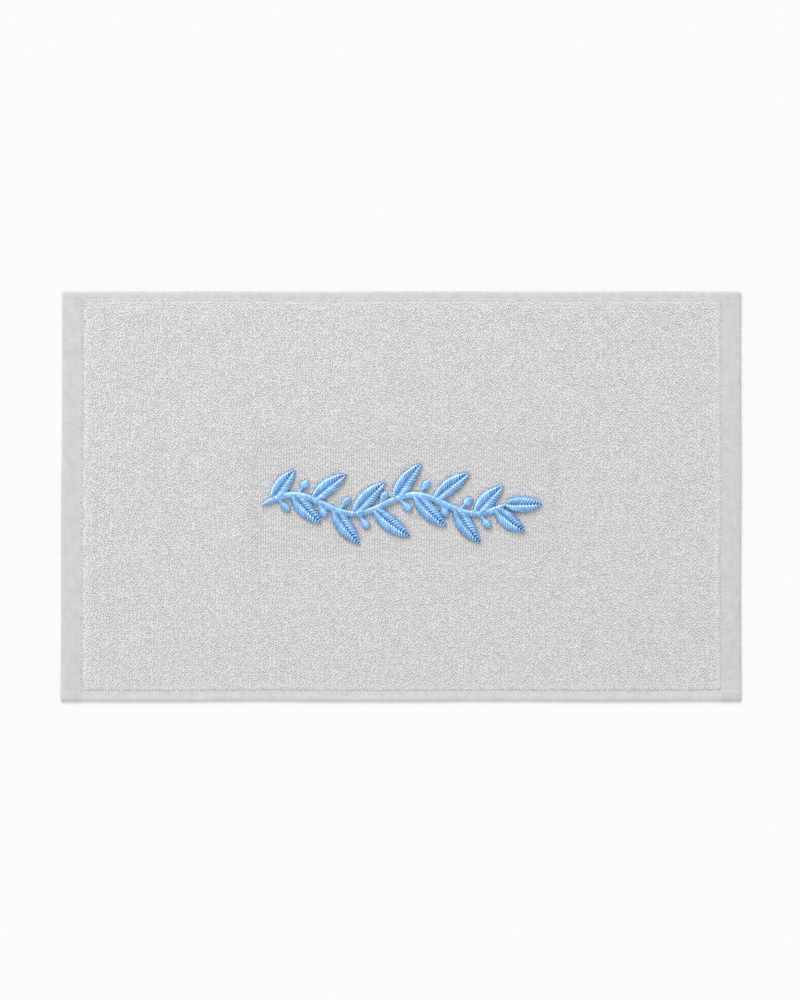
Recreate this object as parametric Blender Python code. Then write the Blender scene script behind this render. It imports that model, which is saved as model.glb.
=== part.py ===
# Hand towel of cotton terry, laid flat with its upper face up, and an embroidered sprig on it.
# The long side runs along X and the short side along Y; the origin is the middle of the underside.
# All lengths are in metres and all angles in radians.

import math

import bmesh
import bpy
from mathutils import Vector

MM = 0.001

# Cut size and thickness
LENGTH = 500 * MM                   # end to end, along X
WIDTH = 302 * MM                    # side to side, along Y
HEM_THICK = 2.4 * MM                # three layers of the plain band, pressed flat
PILE_THICK = 4.4 * MM               # from the loop tips below to the loop tips above

# Hems: how far each one runs in from its fold to its seam
HEMS = {
    "left": 14.0 * MM,
    "right": 15.6 * MM,
    "front": 8.5 * MM,
    "back": 6.0 * MM,
}
SEAM_WIDE = 1.2 * MM                # the seam pulls the cloth down this far to each side of it
SEAM_SINK = 0.35 * MM
SHOULDER = 2.2 * MM                 # the pile stands at full height this far in from the seam
LAP = 0.5 * MM                      # extra height where an end hem lies over a side hem
UNDER_GROOVE = 0.9 * MM             # groove below, between the turned hem and the loops

# How uneven the cloth is
CORNER = 2.5 * MM                   # radius of the corners in plan
LEAN = 0.45 * MM                    # the left end runs out of square by this much each way
WANDER = 0.18 * MM                  # slow waves in the outline
WANDER_PITCH = 170 * MM
RELIEF = 0.18 * MM                  # slow hills in the pile
RELIEF_PITCH = 96 * MM

# Sprig: a waving stem of satin stitch, with a leaf and a berry at each joint
SPRIG_LENGTH = 205 * MM             # tip to tip
SPRIG_HIGH = 67 * MM
SPRIG_MIDDLE = Vector((1 * MM, -6 * MM))
STEM_HALF = 2.5 * MM                # half the stem's width
STEM_WAVE = 7 * MM
STEM_WAVES = 2                      # full waves from end to end
JOINTS = 12
LEAF_LONG = 33 * MM
LEAF_HALF = 6 * MM
LEAF_FOOT, LEAF_TIP = 0.6, 0.75     # powers that shape a leaf: a larger one draws that end in more
LEAF_SHORTER = 0.22                 # share that leaves lose towards the ends of the stem
LEAF_OPEN = math.radians(54)        # how far a leaf's foot leans out from the stem
LEAF_BEND = math.radians(-18)       # turn along the leaf, back towards the stem
FOLLOW = 0.35                       # share of the stem's own slope that its leaves take on
TIP_LEAF = 0.8                      # the leaf at the stem's end, as a share of the longest one
STALK_LONG = 6 * MM
STALK_HALF = 1.3 * MM
BERRY_HALF = 3.3 * MM
BERRY_AHEAD = 0.18                  # how far past its joint a berry grows, as a share of their spacing
CROWN = 2.3 * MM                    # height of a full satin column
CROWN_HALF = 4 * MM                 # a column with a smaller half width than this is lower
SIDE_SHARE = 0.35                   # part of a column's height that its side wall takes
VEIN = 0.5                          # how deep the middle of a leaf sinks, as a share of its height
VEIN_REACH = 0.6                    # how far out that goes, as a share of the half width
GAP = 0.3 * MM                      # left between the stitches and the pile below
DISH = 0.9 * MM                     # the pile is pressed down this far under the sprig
DISH_MARGIN = 6 * MM                # and just as far for this distance round it
DISH_BLEND = 12 * MM

# How finely the faces follow the shape
FIELD_STEP = 13 * MM                # spacing of the points over the pile
RIM_TURNS = (0, 35, 65, 90)         # degrees round the fold at the edge
SHOULDER_SHARES = (0.3, 0.5, 1)
STEM_STEPS = 52
STEM_TAPER_STEPS = 3
LEAF_STEPS = 12
BERRY_STEPS = 15
DOME_STEPS = 6
MERGE = 0.01 * MM

COTTON = (0.66, 0.65, 0.66)
THREAD = (0.28, 0.50, 0.80)
SMOOTH_BELOW = math.radians(50)


def remove_start_objects():
    for item in list(bpy.data.objects):
        bpy.data.objects.remove(item, do_unlink=True)


def material(name, colour, roughness):
    made = bpy.data.materials.new(name)
    made.use_nodes = True
    shader = made.node_tree.nodes["Principled BSDF"]
    shader.inputs["Base Color"].default_value = (*colour, 1)
    shader.inputs["Roughness"].default_value = roughness
    shader.inputs["Metallic"].default_value = 0
    return made


def add_object(name, bm, finish):
    mesh = bpy.data.meshes.new(name)
    bmesh.ops.recalc_face_normals(bm, faces=bm.faces[:])
    bm.to_mesh(mesh)
    bm.free()
    mesh.materials.append(finish)
    mesh.shade_smooth()
    mesh.set_sharp_from_angle(angle=SMOOTH_BELOW)
    made = bpy.data.objects.new(name, mesh)
    bpy.context.collection.objects.link(made)
    return made


def ease(share):
    share = min(max(share, 0), 1)
    return share * share * (3 - 2 * share)


def tent(offset, reach):
    return max(1 - abs(offset) / reach, 0)


# Towel: an upper and a lower skin over one grid of points, which meet at the folded edge

RIM = HEM_THICK / 2                 # the fold is a half round


def rim_half(inset):
    """Half the thickness of the folded edge, this far in from it."""
    return math.sqrt(max(RIM**2 - (RIM - min(inset, RIM)) ** 2, 0))


def edge_stations(hem):
    """How far in from an edge the section changes."""
    rim = [RIM * (1 - math.cos(math.radians(turn))) for turn in RIM_TURNS]
    seam = [hem - SEAM_WIDE, hem]
    shoulder = [hem + SHOULDER * share for share in SHOULDER_SHARES]
    return rim + seam + shoulder


def stations(span, low_hem, high_hem):
    low = edge_stations(low_hem)
    high = [span - inset for inset in reversed(edge_stations(high_hem))]
    field = high[0] - low[-1]
    cells = round(field / FIELD_STEP)
    between = [low[-1] + field * step / cells for step in range(1, cells)]
    return low + between + high


def insets(from_left, from_front):
    """How far in a point lies from the nearer end and side, and from their seams."""
    end, end_hem = min((from_left, HEMS["left"]), (LENGTH - from_left, HEMS["right"]))
    side, side_hem = min((from_front, HEMS["front"]), (WIDTH - from_front, HEMS["back"]))
    return end, side, end - end_hem, side - side_hem


def over_sprig(x, y):
    """1 under the sprig and 0 away from it."""
    out_x = max(abs(x - SPRIG_MIDDLE.x) - SPRIG_LENGTH / 2 - DISH_MARGIN, 0)
    out_y = max(abs(y - SPRIG_MIDDLE.y) - SPRIG_HIGH / 2 - DISH_MARGIN, 0)
    return 1 - ease(math.hypot(out_x, out_y) / DISH_BLEND)


def upper_surface(from_left, from_front):
    end, side, past_end, past_side = insets(from_left, from_front)
    inside = min(past_end, past_side)
    off_rim = min(end / RIM, side / RIM, 1)
    pile = math.sin(math.pi / 2 * min(max(inside / SHOULDER, 0), 1))
    seam = max(tent(inside, SEAM_WIDE), tent(past_end, SEAM_WIDE))
    lap = ease(-past_end / SEAM_WIDE) * ease(-past_side / SEAM_WIDE)
    x, y = from_left - LENGTH / 2, from_front - WIDTH / 2
    turn = 2 * math.pi / RELIEF_PITCH
    hills = math.sin(turn * x + math.cos(turn * y)) * math.cos(turn * y)
    pressed = over_sprig(x, y)
    pile_top = PILE_THICK - HEM_THICK + RELIEF * hills * (1 - pressed) - DISH * pressed
    hem_top = RIM + rim_half(min(end, side)) + off_rim * (LAP * lap - SEAM_SINK * seam)
    return hem_top + pile * pile_top


def lower_surface(from_left, from_front):
    end, side, past_end, past_side = insets(from_left, from_front)
    groove = tent(min(past_end, past_side) - SHOULDER / 2, SHOULDER / 2)
    return RIM - rim_half(min(end, side)) + UNDER_GROOVE * groove


def outline(from_left, from_front):
    """The place in plan of a point that would lie this far in on a true rectangle."""
    x, y = from_left - LENGTH / 2, from_front - WIDTH / 2
    edge_x, edge_y = LENGTH / 2 - abs(x), WIDTH / 2 - abs(y)
    if edge_x < CORNER and edge_y < CORNER:
        u, v = 1 - edge_x / CORNER, 1 - edge_y / CORNER
        pull = max(u, v) / math.hypot(u, v)
        x = math.copysign(LENGTH / 2 - CORNER * (1 - u * pull), x)
        y = math.copysign(WIDTH / 2 - CORNER * (1 - v * pull), y)
    along_x, along_y = 2 * x / LENGTH, 2 * y / WIDTH
    turn = 2 * math.pi / WANDER_PITCH
    lean = LEAN * along_y * (1 - along_x) / 2
    bow_x = WANDER * abs(along_x) * math.sin(turn * y + along_x)
    bow_y = WANDER * abs(along_y) * math.sin(turn * x + along_y)
    return Vector((x + lean + bow_x, y + bow_y))


def towel_mesh():
    across = stations(LENGTH, HEMS["left"], HEMS["right"])
    along = stations(WIDTH, HEMS["front"], HEMS["back"])
    cells_x, cells_y = len(across) - 1, len(along) - 1
    band = len(edge_stations(HEMS["left"])) - 1

    def station_of(vert):
        return round((vert.co.x + 1) / 2 * cells_x), round((vert.co.y + 1) / 2 * cells_y)

    bm = bmesh.new()
    bmesh.ops.create_grid(bm, x_segments=cells_x, y_segments=cells_y, size=1)
    upper = {vert: station_of(vert) for vert in bm.verts}
    copied = bmesh.ops.duplicate(bm, geom=bm.faces[:] + bm.edges[:] + bm.verts[:])["geom"]
    lower = {item: station_of(item) for item in copied if isinstance(item, bmesh.types.BMVert)}
    lower_faces = [item for item in copied if isinstance(item, bmesh.types.BMFace)]
    for places, surface in ((upper, upper_surface), (lower, lower_surface)):
        for vert, (i, j) in places.items():
            plan = outline(across[i], along[j])
            vert.co = (plan.x, plan.y, surface(across[i], along[j]))

    # Inside the groove the underside is one flat face.
    def in_middle(vert):
        i, j = lower[vert]
        return band <= i <= cells_x - band and band <= j <= cells_y - band

    middle = [face for face in lower_faces if all(in_middle(vert) for vert in face.verts)]
    rim = [vert for vert in bm.verts if vert.is_boundary]
    bmesh.ops.dissolve_faces(bm, faces=middle, use_verts=False)
    bmesh.ops.remove_doubles(bm, verts=rim, dist=MERGE)
    return bm


# Sprig: each column of satin stitch follows a line in plan, with a half width at each point

STEM_RUN = SPRIG_LENGTH - LEAF_LONG * TIP_LEAF  # straight from its foot to the end leaf


def stem_point(share):
    """A place on the stem, from 0 at its foot to 1 where the end leaf starts."""
    wave = STEM_WAVE * math.sin(2 * math.pi * STEM_WAVES * share)
    return SPRIG_MIDDLE + Vector((STEM_RUN * share - SPRIG_LENGTH / 2, wave))


def stem_angle(share):
    turn = 2 * math.pi * STEM_WAVES
    return math.atan2(STEM_WAVE * turn * math.cos(turn * share), STEM_RUN)


def stem_line():
    line = []
    for step in range(STEM_STEPS + 1):
        from_end = min(step, STEM_STEPS - step)
        taper = math.sqrt(min((from_end + 0.5) / STEM_TAPER_STEPS, 1))
        line.append((stem_point(step / STEM_STEPS), STEM_HALF * taper))
    return line


def grown_line(foot, angle, length, bend, half_width, steps):
    """A line that leaves its foot at an angle and turns evenly along its length."""
    line, place = [], foot.copy()
    for step in range(steps + 1):
        share = step / steps
        line.append((place.copy(), half_width(share)))
        heading = angle + bend * share
        place += Vector((math.cos(heading), math.sin(heading))) * length / steps
    return line


def leaf_half(share):
    """Fullest behind the middle, and drawn in to a point at the tip."""
    fullest = LEAF_FOOT / (LEAF_FOOT + LEAF_TIP)
    peak = fullest**LEAF_FOOT * (1 - fullest) ** LEAF_TIP
    swell = share**LEAF_FOOT * (1 - share) ** LEAF_TIP / peak
    return max(LEAF_HALF * swell, STALK_HALF / 2)


def berry_half(share):
    """A thin stalk that ends in a disc."""
    past_middle = (STALK_LONG + 2 * BERRY_HALF) * share - STALK_LONG - BERRY_HALF
    disc = math.sqrt(max(BERRY_HALF**2 - past_middle**2, 0))
    return max(disc, STALK_HALF if past_middle < 0 else STALK_HALF / 2)


def add_column(bm, line, vein=0):
    """Lofts one satin column: flat below, a low wall at each side and a crown between."""
    base = PILE_THICK - DISH + GAP
    rings = []
    for index, (place, half) in enumerate(line):
        before, after = line[max(index - 1, 0)][0], line[min(index + 1, len(line) - 1)][0]
        ahead = (after - before).normalized()
        aside = Vector((-ahead.y, ahead.x)) * half
        height = CROWN * math.sqrt(min(half / CROWN_HALF, 1))
        ring = [bm.verts.new((*(place + aside), base))]
        for step in range(DOME_STEPS + 1):
            out = math.cos(math.pi * step / DOME_STEPS)
            dome = SIDE_SHARE + (1 - SIDE_SHARE) * math.sqrt(max(1 - out * out, 0))
            sunk = 1 - vein * tent(out, VEIN_REACH)
            ring.append(bm.verts.new((*(place + aside * out), base + height * dome * sunk)))
        ring.append(bm.verts.new((*(place - aside), base)))
        rings.append(ring)
    for ring, following in zip(rings, rings[1:]):
        for low in range(len(ring)):
            high = (low + 1) % len(ring)
            bm.faces.new((ring[low], ring[high], following[high], following[low]))
    bm.faces.new(rings[0])
    bm.faces.new(rings[-1])


def stem_mesh():
    bm = bmesh.new()
    add_column(bm, stem_line())
    return bm


def leaves_mesh():
    """A leaf on one side of each joint and a berry on the other, and a leaf at the stem's end."""
    bm = bmesh.new()
    spacing = 1 / JOINTS
    for joint in range(JOINTS):
        share = (joint + 0.5) * spacing
        side = 1 if joint % 2 == 0 else -1
        slope = FOLLOW * stem_angle(share)
        length = LEAF_LONG * (1 - LEAF_SHORTER * (2 * share - 1) ** 2)
        leaf = grown_line(stem_point(share), slope + side * LEAF_OPEN, length,
                          side * LEAF_BEND, leaf_half, LEAF_STEPS)
        add_column(bm, leaf, VEIN)
        if joint < JOINTS - 1:
            foot = stem_point(share + BERRY_AHEAD * spacing)
            berry = grown_line(foot, slope - side * LEAF_OPEN, STALK_LONG + 2 * BERRY_HALF,
                               0, berry_half, BERRY_STEPS)
            add_column(bm, berry)
    end_leaf = grown_line(stem_point(1), 0, LEAF_LONG * TIP_LEAF, 0, leaf_half, LEAF_STEPS)
    add_column(bm, end_leaf, VEIN)
    return bm


def add_embroidery(finish):
    """The stem, with the leaves and berries joined to it as one body."""
    stem = add_object("embroidery", stem_mesh(), finish)
    leaves = add_object("leaves_to_join", leaves_mesh(), finish)
    leaves.hide_render = True
    leaves.display_type = "WIRE"
    union = stem.modifiers.new("join leaves", "BOOLEAN")
    union.operation = "UNION"
    union.solver = "EXACT"
    union.use_self = True
    union.object = leaves


remove_start_objects()
add_object("towel", towel_mesh(), material("terry cotton", COTTON, 0.95))
add_embroidery(material("satin thread", THREAD, 0.4))
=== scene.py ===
# Hand towel of looped cotton, laid flat, with a sprig embroidered in satin stitch.
import math

import bmesh
import bpy
import numpy as np
from mathutils import Matrix


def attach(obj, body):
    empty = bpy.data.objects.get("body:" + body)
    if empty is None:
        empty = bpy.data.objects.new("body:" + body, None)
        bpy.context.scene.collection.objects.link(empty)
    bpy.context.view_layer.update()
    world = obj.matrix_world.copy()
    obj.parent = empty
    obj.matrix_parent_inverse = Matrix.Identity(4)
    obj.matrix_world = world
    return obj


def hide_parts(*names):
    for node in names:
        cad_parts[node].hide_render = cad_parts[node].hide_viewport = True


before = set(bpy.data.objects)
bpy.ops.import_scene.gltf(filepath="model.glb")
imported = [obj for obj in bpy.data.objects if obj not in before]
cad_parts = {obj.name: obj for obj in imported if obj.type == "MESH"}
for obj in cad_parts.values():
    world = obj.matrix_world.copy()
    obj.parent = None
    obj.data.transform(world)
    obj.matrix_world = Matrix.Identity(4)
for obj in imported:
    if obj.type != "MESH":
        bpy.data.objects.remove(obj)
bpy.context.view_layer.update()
mm = 0.001
print("frame loaded:", ", ".join(sorted(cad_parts)))

# Helpers for nodes and meshes


class Wire:
    # One output socket; arithmetic on it adds Math nodes to its tree.
    def __init__(self, graph, socket):
        self.graph, self.socket = graph, socket

    def math(self, operation, *values):
        return self.graph.node("ShaderNodeMath", {"operation": operation}, dict(enumerate(values)))

    def __add__(self, other):
        return self.math("ADD", self, other)

    def __sub__(self, other):
        return self.math("SUBTRACT", self, other)

    def __rsub__(self, other):
        return self.math("SUBTRACT", other, self)

    def __mul__(self, other):
        return self.math("MULTIPLY", self, other)

    __radd__, __rmul__ = __add__, __mul__

    def sine(self):
        return self.math("SINE", self)

    def above(self, other):
        return self.math("GREATER_THAN", self, other)

    def below(self, other):
        return self.math("LESS_THAN", self, other)

    def other(self, name):
        return Wire(self.graph, self.socket.node.outputs[name])


class Graph:
    # Adds nodes to a shader or geometry tree.
    def __init__(self, tree):
        self.tree = tree

    def node(self, kind, settings=None, sockets=None, out=0):
        made = self.tree.nodes.new(kind)
        for name, value in (settings or {}).items():
            setattr(made, name, value)
        for name, value in (sockets or {}).items():
            self.feed(made.inputs[name], value)
        return Wire(self, made.outputs[out])

    def feed(self, socket, value):
        if isinstance(value, Wire):
            self.tree.links.new(value.socket, socket)
        else:
            socket.default_value = value

    def vector(self, x, y, z):
        return self.node("ShaderNodeCombineXYZ", None, {0: x, 1: y, 2: z})

    def parts(self, place):
        return self.node("ShaderNodeSeparateXYZ", None, {0: place})

    def vectorMath(self, operation, first, second):
        return self.node("ShaderNodeVectorMath", {"operation": operation}, {0: first, 1: second})

    def scaled(self, colour, factor):
        return self.node("ShaderNodeVectorMath", {"operation": "SCALE"}, {0: colour, "Scale": factor})

    def noise(self, place, scale, detail=2.0):
        return self.node("ShaderNodeTexNoise", None, {"Vector": place, "Scale": scale, "Detail": detail})

    # For shaders

    def attribute(self, name):
        return self.node("ShaderNodeAttribute", {"attribute_name": name}, out="Fac")

    def blend(self, share, first, second):
        return self.node("ShaderNodeMix", {"data_type": "RGBA"},
                         {0: share, 6: (*first, 1), 7: (*second, 1)}, 2)

    def bump(self, height, look):
        sockets = {"Strength": look["bump"], "Distance": look["bumpHigh"], "Height": height}
        return self.node("ShaderNodeBump", None, sockets, "Normal")

    # For geometry trees

    def random(self, low, high, seed):
        return self.node("FunctionNodeRandomValue", {"data_type": "FLOAT"},
                         {2: low, 3: high, "Seed": seed}, 1)

    def named(self, name, kind="FLOAT"):
        return self.node("GeometryNodeInputNamedAttribute", {"data_type": kind}, {"Name": name})

    def store(self, geometry, name, value, kind="FLOAT"):
        return self.node("GeometryNodeStoreNamedAttribute", {"data_type": kind, "domain": "POINT"},
                         {"Geometry": geometry, "Name": name, "Value": value})

    def shapeOf(self, guide):
        return self.node("GeometryNodeObjectInfo", None, {"Object": guide}, "Geometry")


def newTree(name, inputs):
    tree = bpy.data.node_groups.new(name, "GeometryNodeTree")
    sockets = {"Geometry": "Geometry", **inputs, "Seed": "Int", "Finish": "Material"}
    for label, kind in sockets.items():
        tree.interface.new_socket(label, in_out="INPUT", socket_type="NodeSocket" + kind)
    tree.interface.new_socket("Geometry", in_out="OUTPUT", socket_type="NodeSocketGeometry")
    graph = Graph(tree)
    source = tree.nodes.new("NodeGroupInput")
    return graph, {label: Wire(graph, source.outputs[label]) for label in sockets}


def endTree(graph, instances, finish):
    real = graph.node("GeometryNodeRealizeInstances", None, {"Geometry": instances})
    dressed = graph.node("GeometryNodeSetMaterial", None, {"Geometry": real, "Material": finish})
    outlet = graph.tree.nodes.new("NodeGroupOutput")
    graph.feed(outlet.inputs["Geometry"], dressed)
    return graph.tree


def grow(name, seedMesh, tree, values):
    # Runs a tree on a mesh and keeps the result as a plain mesh.
    source = addObject(name + "Source", seedMesh)
    modifier = source.modifiers.new(name, "NODES")
    modifier.node_group = tree
    for item in tree.interface.items_tree:
        if item.in_out == "INPUT" and item.name in values:
            modifier[item.identifier] = values[item.name]
    depsgraph = bpy.context.evaluated_depsgraph_get()
    grown = bpy.data.meshes.new_from_object(
        source.evaluated_get(depsgraph), preserve_all_data_layers=True, depsgraph=depsgraph)
    dropAll([source])
    return addPiece(name, grown)


def addObject(name, mesh):
    made = bpy.data.objects.new(name, mesh)
    bpy.context.collection.objects.link(made)
    return made


def dropAll(guides):
    for guide in list(guides):
        bpy.data.objects.remove(guide, do_unlink=True)


def addPiece(name, mesh, finish=None):
    if finish:
        mesh.materials.append(finish)
    mesh.shade_smooth()
    mesh.name = name
    piece = addObject(name, mesh)
    print(f"  {name}: {sum(len(face.vertices) - 2 for face in mesh.polygons)} triangles")
    return piece


def meshOf(name, places, edges=(), faces=(), **attributes):
    mesh = bpy.data.meshes.new(name)
    mesh.from_pydata(np.asarray(places, float).tolist(), edges, faces)
    for label, values in attributes.items():
        values = np.asarray(values, np.float32)
        kind, field = ("FLOAT_VECTOR", "vector") if values.ndim == 2 else ("FLOAT", "value")
        mesh.attributes.new(label, kind, "POINT").data.foreach_set(field, values.ravel())
    return mesh


def layFlat(mesh, sides=1):
    # A map drawn straight down; with two sides the upper face lies beyond the underside.
    flat = mesh.uv_layers.new(name="OFBake")
    corners = np.empty(len(mesh.loops), np.int32)
    mesh.loops.foreach_get("vertex_index", corners)
    places = np.empty(len(mesh.vertices) * 3, np.float32)
    mesh.vertices.foreach_get("co", places)
    places = places.reshape(-1, 3)[corners]
    low, high = places.min(0), places.max(0)
    spot = (places[:, :2] - low[:2]) / max(high[0] - low[0], (high[1] - low[1]) * sides)
    if sides == 2:
        normals = np.empty(len(mesh.polygons) * 3, np.float32)
        mesh.polygons.foreach_get("normal", normals)
        counts = np.empty(len(mesh.polygons), np.int32)
        mesh.polygons.foreach_get("loop_total", counts)
        spot[:, 1] += np.where(np.repeat(normals[2::3] > 0, counts), 0.5, 0)
    flat.uv.foreach_set("vector", np.ascontiguousarray(spot, np.float32).ravel())


def ringFaces(first, rings, around):
    # Joins rings of points into a tube and closes both ends.
    faces = []
    for ring in range(rings - 1):
        a, b = first + ring * around, first + (ring + 1) * around
        faces += [(a + i, a + (i + 1) % around, b + (i + 1) % around, b + i) for i in range(around)]
    last = first + (rings - 1) * around
    return faces + [tuple(range(first, first + around)), tuple(range(last, last + around))]


def faceOutwards(mesh):
    shells = bmesh.new()
    shells.from_mesh(mesh)
    bmesh.ops.recalc_face_normals(shells, faces=shells.faces)
    shells.to_mesh(mesh)
    shells.free()
    return mesh


def strand(name, middles, halfWide, sides, pinch=0.3):
    # A small closed yarn along the X axis whose ends are pinched.
    middles = np.asarray(middles, float)
    places = []
    for index, middle in enumerate(middles):
        ahead = middles[min(index + 1, len(middles) - 1)] - middles[max(index - 1, 0)]
        across = np.cross((0, 0, 1), ahead)
        across /= np.linalg.norm(across)
        up = np.cross(ahead, across)
        up /= np.linalg.norm(up)
        radius = halfWide * (pinch if index in (0, len(middles) - 1) else 1)
        for side in range(sides):
            angle = 2 * math.pi * side / sides
            places.append(middle + (up * math.cos(angle) + across * math.sin(angle)) * radius)
    mesh = meshOf(name, places, faces=ringFaces(0, len(middles), sides))
    return addObject(name, faceOutwards(mesh))


# Finishes


def newFinish(name, look):
    made = bpy.data.materials.new(name)
    made.use_nodes = True
    shader = made.node_tree.nodes["Principled BSDF"]
    sockets = {"roughness": "Roughness", "sheen": "Sheen Weight", "specular": "Specular IOR Level",
               "coat": "Coat Weight", "coatRoughness": "Coat Roughness"}
    for setting, socket in sockets.items():
        if setting in look:
            shader.inputs[socket].default_value = look[setting]
    graph = Graph(made.node_tree)
    place = graph.node("ShaderNodeTexCoord", out="Object")
    return made, graph, shader, place


# Soft clouds of tone, and a painted falloff of light across the towel
cloudsAndFalloff = {
    "paintedFalloff": 0.08,               # painted shade: how much darker the far corner is, standing in for light falling off across the towel
    "paintedFalloffAlong": 0.45,          # its shares along the towel and across it
    "paintedFalloffAcross": 0.6,
    "cloudScale": 28.0,         # noise scales are per metre
    "cloudTone": 0.015,
}


def cloudsAndPaintedFalloff(graph, place):
    # Wear and washing leave soft clouds of tone; one corner is a little darker, painted shade standing in
    # for light falling off across the towel.
    parts = graph.parts(place)
    slope = (parts * (cloudsAndFalloff["paintedFalloffAlong"] / towel["length"])
             - parts.other("Y") * (cloudsAndFalloff["paintedFalloffAcross"] / towel["width"]))
    clouds = graph.noise(place, cloudsAndFalloff["cloudScale"], detail=3.0) - 0.5
    return 1 + clouds * cloudsAndFalloff["cloudTone"] - slope * cloudsAndFalloff["paintedFalloff"]


hemCotton = {
    "colour": (0.618, 0.611, 0.617),
    "ground": (0.736, 0.724, 0.73),     # the base weave between the loops
    "roughness": 0.92,
    "sheen": 0.1,
    "specular": 0.25,
    "weave": 0.55 * mm,
    "weaveTone": 0.02,
    "weaveRelief": 0.25,
    "slubScale": 900.0,
    "slubStretch": (0.15, 1.0, 1.0),
    "slubTone": 0.18,
    "slubRelief": 0.8,
    "patchScale": 260.0,
    "patchStretch": (1.0, 0.6, 1.0),
    "patchTone": 0.26,
    "patchRelief": 2.0,
    "bump": 0.5,
    "bumpHigh": 0.12 * mm,
}


def cottonFinish():
    look = hemCotton
    made, graph, shader, place = newFinish("hem cotton", look)
    parts = graph.parts(place)
    turn = 2 * math.pi / look["weave"]
    weave = (parts * turn).sine() * (parts.other("Y") * turn).sine()
    slubPlace = graph.vectorMath("MULTIPLY", place, look["slubStretch"])
    slubs = graph.noise(slubPlace, look["slubScale"], detail=3.0)
    patchPlace = graph.vectorMath("MULTIPLY", place, look["patchStretch"])
    patches = graph.noise(patchPlace, look["patchScale"])
    field = graph.attribute("field")
    even = (look["slubTone"] + look["patchTone"]) / 2
    uneven = (slubs * look["slubTone"] + patches * look["patchTone"] - even) * (1 - field)
    tone = cloudsAndPaintedFalloff(graph, place) * (1 + uneven) * (1 + weave * look["weaveTone"]) * graph.attribute("shade")
    colour = graph.blend(field, look["colour"], look["ground"])
    graph.feed(shader.inputs["Base Color"], graph.scaled(colour, tone))
    relief = (weave * look["weaveRelief"] + slubs * look["slubRelief"]
              + patches * look["patchRelief"] * (1 - field))
    graph.feed(shader.inputs["Normal"], graph.bump(relief, look))
    return made


terryYarn = {
    "colour": (0.928, 0.913, 0.92),
    "roughness": 0.95,
    "sheen": 0.1,
    "specular": 0.2,
    "darkest": 0.97,
    "toneRange": 0.06,
    "fibreScale": 2600.0,
    "bump": 0.4,
    "bumpHigh": 0.1 * mm,
}


def terryFinish():
    look = terryYarn
    made, graph, shader, place = newFinish("terry yarn", look)
    # The attribute "tone" holds random tone and painted shade on outer and low loops
    tone = cloudsAndPaintedFalloff(graph, place) * (look["darkest"] + graph.attribute("tone") * look["toneRange"])
    graph.feed(shader.inputs["Base Color"], graph.scaled(look["colour"], tone))
    graph.feed(shader.inputs["Normal"], graph.bump(graph.noise(place, look["fibreScale"]), look))
    return made


satinThread = {
    "colour": (0.275, 0.59, 1.0),
    "groove": (0.045, 0.22, 0.56),      # painted shade: the same thread as it looks in its grooves and feet
    "roughness": 0.3,
    "specular": 1.0,
    "coat": 0.85,
    "coatRoughness": 0.24,
    "darkest": 0.72,
    "strandTone": 0.38,
    "fibreTone": 0.18,
    "fibreScale": 3200.0,
    "bump": 0.4,
    "bumpHigh": 0.08 * mm,
}


def threadFinish():
    look = satinThread
    made, graph, shader, place = newFinish("satin thread", look)
    fibres = graph.noise(place, look["fibreScale"])
    # Painted shade from the attribute "lit" darkens grooves and feet
    colour = graph.blend(graph.attribute("lit"), look["groove"], look["colour"])
    tone = look["darkest"] + graph.attribute("tone") * look["strandTone"] + fibres * look["fibreTone"]
    graph.feed(shader.inputs["Base Color"], graph.scaled(colour, tone))
    graph.feed(shader.inputs["Normal"], graph.bump(fibres, look))
    return made


sewingThread = {
    "colour": (0.66, 0.65, 0.655),
    "roughness": 0.6,
    "darkest": 0.92,
    "twistTone": 0.16,
    "twistScale": 1800.0,
}


def sewingFinish():
    look = sewingThread
    made, graph, shader, place = newFinish("sewing thread", look)
    tone = look["darkest"] + graph.noise(place, look["twistScale"]) * look["twistTone"]
    graph.feed(shader.inputs["Base Color"], graph.scaled(look["colour"], tone))
    return made


# The cloth: base weave under the pile, and turned hems

towel = {
    "length": 500 * mm,
    "width": 301.2 * mm,
    "cut": (500 * mm, 302 * mm),
    "hemThick": 2.4 * mm,
    "hemLeft": 15.3 * mm,
    "hemRight": 15.3 * mm,
    "hemFront": 8.1 * mm,
    "hemBack": 6.0 * mm,
    "roll": 3.0 * mm,           # the folded edge rounds over this far in
    "seamWide": 1.2 * mm,
    "seamSink": 0.08 * mm,
    "frontFull": 0.15 * mm,     # the front hem swells beside its seam
    "shoulder": 2.2 * mm,
    "lap": 0.25 * mm,           # an end hem over a side hem
    "corner": 1.2 * mm,
    "spread": 0.35 * mm,        # the end hems reach this far past the front hem
    "lean": 0.7 * mm,
    "wander": 0.18 * mm,
    "wanderPitch": 170 * mm,
    "baseTop": 2.9 * mm,        # the base weave lies between these, inside the pile
    "baseUnder": 1.7 * mm,
    "dish": 0.6 * mm,           # the base sinks this far under the embroidery
    "dishMargin": 6 * mm,
    "dishBlend": 12 * mm,
    "pucker": 0.12 * mm,
    "step": 6 * mm,
    "endPaintedShade": 0.975,           # painted light and shade: the end and back hems a little darker, the front hem lighter, for how the light falls on each
    "frontPaintedLight": 1.075,
    "backPaintedShade": 0.98,
    "backShade": 0.1,           # painted shade on the weave under the back row of loops
    "backShadeIn": 1.5 * mm,
}
rim = towel["hemThick"] / 2


def ease(share):
    share = np.clip(share, 0, 1)
    return share * share * (3 - 2 * share)


def tent(offset, reach):
    return np.maximum(1 - np.abs(offset) / reach, 0)


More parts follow.
